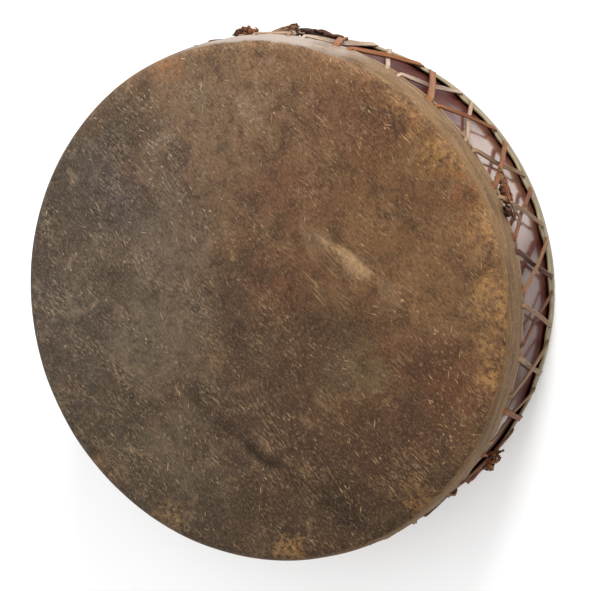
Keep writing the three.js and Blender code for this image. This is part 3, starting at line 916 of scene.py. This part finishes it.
def smooth(keys, step):
    """A curve through the keys, as rows of equal kind, close enough together to look round."""
    rows = []
    last = len(keys) - 1
    for index in range(last):
        a, b, c, d = (keys[min(max(index + k, 0), last)] for k in (-1, 0, 1, 2))
        count = max(1, round((Vector(c[:3]) - Vector(b[:3])).length / step))
        for part in range(count):
            t = part / count
            rows.append([between(t, *four) for four in zip(a, b, c, d)])
    rows.append(list(keys[-1]))
    return rows


def strip(bm, rows, facing=None, across=4):
    """rows hold x, y, z, width, tone and twist. facing gives the outward direction at a place."""
    floats = bm.verts.layers.float
    layers = [floats.get(key) or floats.new(key) for key in ("tone", "along", "across")]
    places = [Vector(row[:3]) for row in rows]
    run = [0.0]
    for before, after in zip(places, places[1:]):
        run.append(run[-1] + (after - before).length)
    last = len(rows) - 1
    offset = random.uniform(0, 9)
    for vert in bmesh.ops.create_grid(bm, x_segments=across, y_segments=last, size=1.0)["verts"]:
        share, index = vert.co.x, round((vert.co.y + 1) / 2 * last)
        place = places[index]
        heading = (places[min(index + 1, last)] - places[max(index - 1, 0)]).normalized()
        outward = facing(place) if facing else Vector((place.x, place.y, 0))
        outward = (outward - heading * outward.dot(heading)).normalized()
        sideways = heading.cross(outward)
        width, tone, twist = rows[index][3:6]
        ragged = 1 + 0.16 * noise.noise(Vector((run[index] * 160, share * 2, offset)))
        reach = sideways * math.cos(twist) + outward * math.sin(twist)
        lift = outward * math.cos(twist) - sideways * math.sin(twist)
        cup = 0.08 * width * share * share
        vert.co = place + reach * (share * width / 2 * ragged) + lift * cup
        vert[layers[0]], vert[layers[1]], vert[layers[2]] = tone, run[index] + offset, share


print("strips are", THONG_WIDTH, "m wide")

# %% [markdown]
# ## The two laces
# A leg comes out of its slit in one skirt, runs taut over the shell and goes in at the other skirt; the turn
# to the next leg is hidden behind the hide. One lace lies under at every cross and the other over. Tones,
# widths and twists change from leg to leg as they do when a lace is pieced together from what is at hand.

# %% Lace routes
LACE_BEHIND = SHELL_RADIUS + GAP + THONG_THICKNESS / 2
LACE_IN_HOLE = SHELL_RADIUS + SKIRT_STAND + SKIN / 2
LACE_OUTSIDE = SHELL_RADIUS + SKIRT_STAND + SKIN + 2.2 * MM
CROSS_LIFT = 2.2 * MM
PALE, TAN, ORANGE, DARK = 0.88, 0.62, 0.4, 0.14
LEG_TONES = {
    (-1, -1): ORANGE, (0, -1): PALE, (1, -1): 0.47, (2, -1): 0.8, (3, -1): 0.36, (4, -1): 0.33,
    (5, -1): 0.5, (6, -1): 0.25, (7, -1): 0.6, (8, -1): 0.75, (-2, 1): 0.8, (-1, 1): 0.98,
    (0, 1): 0.45, (1, 1): 0.95, (2, 1): 0.42, (3, 1): 0.64, (4, 1): 0.72, (5, 1): 0.2,
    (6, 1): 0.62, (7, 1): 0.7, (8, 1): ORANGE,
}
WIDE_LEGS = {
    (1, -1): 1.5, (-1, -1): 1.35, (5, -1): 1.25, (8, 1): 1.3, (6, -1): 0.6, (5, 1): 0.9, (8, -1): 0.8,
}


def leg_look(cross, side):
    """Tone, width and twist of a leg."""
    cross = (cross + 3) % CROSSES - 3
    chance = random.Random(cross * 7 + side)
    tone = LEG_TONES.get((cross, side), chance.choice((PALE, TAN, 0.5, ORANGE, 0.3, DARK, 0.7)))
    width = THONG_WIDTH * WIDE_LEGS.get((cross, side), chance.uniform(0.72, 1.12))
    return tone, width, chance.uniform(-0.3, 0.3) - (0.95 if side > 0 else 0)


def leg_keys(cross, side, is_over):
    """Keys of one leg from behind the upper skirt to behind the lower one."""
    above, below = (hole_angle(cross, side, is_upper) for is_upper in (True, False))
    high, low = HOLE_HEIGHTS[True], HOLE_HEIGHTS[False]
    length = math.hypot((above - below) * LACE_OUTSIDE, high - low)
    middle = LACE_OUTSIDE - 1.0 * MM + (CROSS_LIFT if is_over else -CROSS_LIFT)
    tone, width, twist = leg_look(cross, side)
    steps = [(-7, LACE_BEHIND, 0), (-3.4, LACE_BEHIND + 0.8 * MM, 0), (0, LACE_IN_HOLE, 0)]
    steps += [(3.6, LACE_OUTSIDE - 0.5 * MM, 0), (9, LACE_OUTSIDE, 0.4)]
    keys = []
    for distance, radius, turn in steps:
        share = distance * MM / length
        keys.append((share, radius, twist * turn))
    full = keys + [(0.3, (middle + LACE_OUTSIDE) / 2, twist), (0.5, middle, twist)]
    full += [(0.7, (middle + LACE_OUTSIDE) / 2, twist)] + [(1 - s, r, t) for s, r, t in reversed(keys)]
    made = []
    for share, radius, turn in full:
        place = polar(above + (below - above) * share, radius, high + (low - high) * share)
        made.append((*place, width, tone, turn))
    return made


def lace_keys(start, is_over):
    keys = []
    for number in range(CROSSES):
        is_down = number % 2 == 0
        leg = leg_keys(start + number, 1 if is_down else -1, is_over)
        if not is_down:
            leg = [(*key[:5], -key[5]) for key in reversed(leg)]
        if keys:
            middle = (Vector(keys[-1][:3]) + Vector(leg[0][:3])) / 2
            middle.z += math.copysign(4.5 * MM, middle.z - TOP / 2)
            keys.append((*middle, THONG_WIDTH * 0.8, leg[0][4], 0))
        keys += leg
    return keys


# %% Laces
def lace_piece(name, node_name, start, is_over):
    random.seed(11 + is_over)
    bm = bmesh.new()
    strip(bm, smooth(lace_keys(start, is_over), 3.2 * MM))
    piece = finish_piece(bm, name, THONG_LEATHER, [node_name])
    thicken(piece)
    return piece


def thicken(piece, thickness=THONG_THICKNESS):
    wall = piece.modifiers.new("leather_thickness", "SOLIDIFY")
    wall.thickness = thickness
    wall.offset = 0


lace_piece("inner_lacing", "under_lace", -3, False)
lace_piece("outer_lacing", "over_lace", -4, True)


# %% [markdown]
# ## Knots and frayed ends
# Where a lace was mended, a short thong is wound round it and tied, and the old ends fray out. Each knot is
# made of the same strips: a few windings round the lace, and a handful of narrow tails that sway and taper.
# Seeded random sways make every tail different, and the same at each run.

# %% Knot parts
def leg_place(cross, side, share, radius):
    above, below = (hole_angle(cross, side, is_upper) for is_upper in (True, False))
    height = HOLE_HEIGHTS[True] + (HOLE_HEIGHTS[False] - HOLE_HEIGHTS[True]) * share
    return polar(above + (below - above) * share, radius, height)


def knot_place(centre, around, up, out):
    """A place near a knot, in millimetres round the drum, up, and away from the shell."""
    angle = math.atan2(centre.y, centre.x) + around * MM / centre.xy.length
    return polar(angle, centre.xy.length + out * MM, centre.z + up * MM)


def winding(bm, centre, axis, wide, deep, turns, tone):
    """A strip wound round an axis: wide across it and deep towards the shell, in millimetres."""
    outward = Vector((centre.x, centre.y, 0)).normalized()
    outward = (outward - axis * outward.dot(axis)).normalized()
    sideways = axis.cross(outward)
    keys = []
    count = 10 * turns
    for step in range(count + 1):
        turn = 2 * math.pi * step / 10 + 0.6
        slide = (step / count - 0.5) * turns * 4.4
        swell = 1 + 0.14 * math.sin(turn * 1.7 + tone * 9)
        offset = sideways * (wide * swell * math.cos(turn)) + outward * (deep * swell * math.sin(turn))
        place = centre + (offset + axis * slide) * MM
        # The tone rises on the outer side of each turn and dips on the side towards the shell: painted light
        # and shade.
        keys.append((*place, 4.6 * MM, tone + 0.08 * math.sin(turn), 0.2 * math.sin(3 * turn)))
    strip(bm, smooth(keys, 2.0 * MM), facing=lambda place: place - centre)


def tail(bm, centre, start, end, width, tone, standing=0.0):
    """A frayed end that wanders from one place near the knot to another and tapers."""
    steps = 6
    keys = []
    for step in range(steps + 1):
        share = step / steps
        sway = 1.6 * math.sin(math.pi * share)
        place = [a + (b - a) * share + random.uniform(-sway, sway) for a, b in zip(start, end)]
        place[2] = max(place[2], -3.6)
        taper = max(0.4, 1 - share**3)
        twist = standing + random.uniform(-0.35, 0.35)
        shift = random.uniform(-0.06, 0.06)
        keys.append((*knot_place(centre, *place), width * taper * MM, tone + shift, twist))
    strip(bm, smooth(keys, 1.8 * MM), across=2)


# %% Knots
def knot_piece(name, centre, seed, windings, tails):
    random.seed(seed)
    bm = bmesh.new()
    around = UP.cross(Vector((centre.x, centre.y, 0)).normalized())
    for place, (round_way, up_way), wide, deep, turns, tone in windings:
        axis = (around * round_way + UP * up_way).normalized()
        winding(bm, knot_place(centre, *place), axis, wide, deep, turns, tone)
    for start, end, width, tone, standing in tails:
        tail(bm, centre, start, end, width, tone, standing)
    piece = finish_piece(bm, name, THONG_LEATHER, [name.replace("_thong", "_knot")])
    thicken(piece, 1.2 * MM)
    return piece


def cross_centre(cross):
    both = [leg_place(cross, side, 0.5, LACE_OUTSIDE - 0.8 * MM) for side in (1, -1)]
    return (both[0] + both[1]) / 2


# Each winding: place (round, up, out), axis (round, up), half width, half depth, turns, tone.
# Each tail: from and to (round, up, out), width, tone, and how far it stands on edge.
BUNDLE_WINDINGS = [
    ((1, 0, 4), (1, 0.1), 5.0, 5.0, 5, 0.22), ((-8, 1, 7), (1, 0.7), 4.4, 3.8, 3, 0.32),
    ((9, -1, 8), (1, -0.5), 4.6, 4.0, 3, 0.16), ((1, 1, 11), (1, 0.3), 3.8, 3.0, 3, 0.22),
]
BUNDLE_TAILS = [
    ((6, 0, 8), (18, 1, 8), 7, 0.14, 0.6), ((10, 0, 4), (18, 0, 2), 7, 0.26, 0.8),
    ((-9, 0, 9), (-18, 0, 5), 6, 0.5, 0.7), ((-8, 2, 1), (-46, -2, 2), 7, 0.36, 1.0),
    ((-10, -2, 2), (-38, 0, 3), 6, 0.44, 0.9), ((4, 1, 11), (12, 2, 13), 5, 0.24, 0.6),
    ((14, 0, 1), (46, -1, 0), 5, 0.66, 0.8), ((30, 1, 0), (60, 0, 1), 5, 0.5, 0.8),
]
CROSSED_WINDINGS = [((1, 0, 2), (0.2, 1), 4.6, 3.4, 2, 0.9)]
CROSSED_TAILS = [
    ((30, 0, 1), (-4, 0, 11), 5, 0.5, 1.2), ((24, 0, 2), (-6, 1, 9), 5, 0.68, 1.1),
    ((22, -2, 1), (-3, -1, 7), 6, 0.34, 1.2), ((27, 2, 1), (3, 2, 11), 4, 0.8, 1.2),
    ((14, 0, 4), (-5, 0, 13), 6, 0.22, 1.0), ((10, 1, 2), (-8, 0, 10), 5, 0.14, 1.1),
    ((13, 0, 9), (23, 0, 0), 5, 0.26, 0.8), ((-4, 0, 12), (-6, 0, 3), 5, 0.24, 1.0),
    ((8, 0, 5), (-14, -2, 2), 6, 0.96, 0.9), ((34, 0, 0), (10, -1, 1), 7, 0.38, 1.0),
    ((2, 0, 7), (-9, 0, 5), 5, 0.6, 0.6), ((-8, -4, 2), (-52, -17, 2), 12, 0.06, 1.3),
    ((-10, -8, 1), (-50, -20, 1), 12, 0.16, 1.2), ((-6, -3, 4), (-34, -10, 5), 8, 0.1, 1.0),
    ((-20, -8, 3), (-56, -19, 3), 9, 0.26, 1.1),
]
SIDE_WINDINGS = [
    ((-5, 3, 1), (-0.9, 0.45), 3.8, 3.4, 3, 0.58), ((-19, 10, 1), (-0.9, 0.45), 4.8, 4.0, 3, 0.26),
    ((-30, 15, 1), (-0.9, 0.6), 4.0, 3.4, 2, 0.34), ((-42, 35, 2.5), (-0.6, -0.8), 4.6, 3.6, 2, 0.1),
]
SIDE_TAILS = [
    ((8, -6, 3), (-30, 15, 4), 5, 0.42, 0.3), ((4, -4, 5), (-36, 18, 4), 5, 0.56, 0.4),
    ((2, 2, 3), (-28, 19, 4), 4, 0.3, 0.2), ((5, -8, 4), (-24, 8, 6), 4, 0.64, 0.5),
    ((-8, 3, 6), (-40, 14, 4), 5, 0.22, 0.3), ((-18, 8, 6), (-34, 8, 5), 4, 0.4, 0.4),
    ((-36, 38, 5), (-54, 25, 4), 6, 0.06, 0.6), ((-34, 17, 5), (-62, 4, 4), 4, 0.84, 0.8),
]
LOWER_WINDINGS = [
    ((0, 0, 4), (0.6, 1), 6.0, 4.6, 3, 0.36), ((-5, 3, 9), (1, 0.2), 4.4, 4.0, 2, 0.5),
    ((4, -2, 8), (0.3, 1), 4.2, 4.2, 2, 0.26), ((-8, 2, 6), (1, 0.6), 4.4, 3.6, 2, 0.2),
]
LOWER_TAILS = [
    ((-38, 10, 2), (19, -5, 3), 6, 0.34, 0.6), ((-34, 5, 2), (14, -6, 4), 5, 0.44, 0.6),
    ((-30, 13, 3), (10, 3, 4), 5, 0.28, 0.7), ((6, -2, 4), (17, -4, 10), 6, 0.16, 0.5),
    ((0, 0, 9), (6, 0, 14), 5, 0.4, 0.4), ((-10, 3, 8), (-4, 2, 13), 5, 0.3, 0.6),
]
knot_piece("bundle_thong", cross_centre(-3), 21, BUNDLE_WINDINGS, BUNDLE_TAILS)
knot_piece("crossed_thong", cross_centre(-2), 22, CROSSED_WINDINGS, CROSSED_TAILS)
knot_piece("side_thong", leg_place(3, -1, 0.26, LACE_OUTSIDE - 0.8 * MM), 23, SIDE_WINDINGS, SIDE_TAILS)
knot_piece("lower_thong", cross_centre(9), 24, LOWER_WINDINGS, LOWER_TAILS)
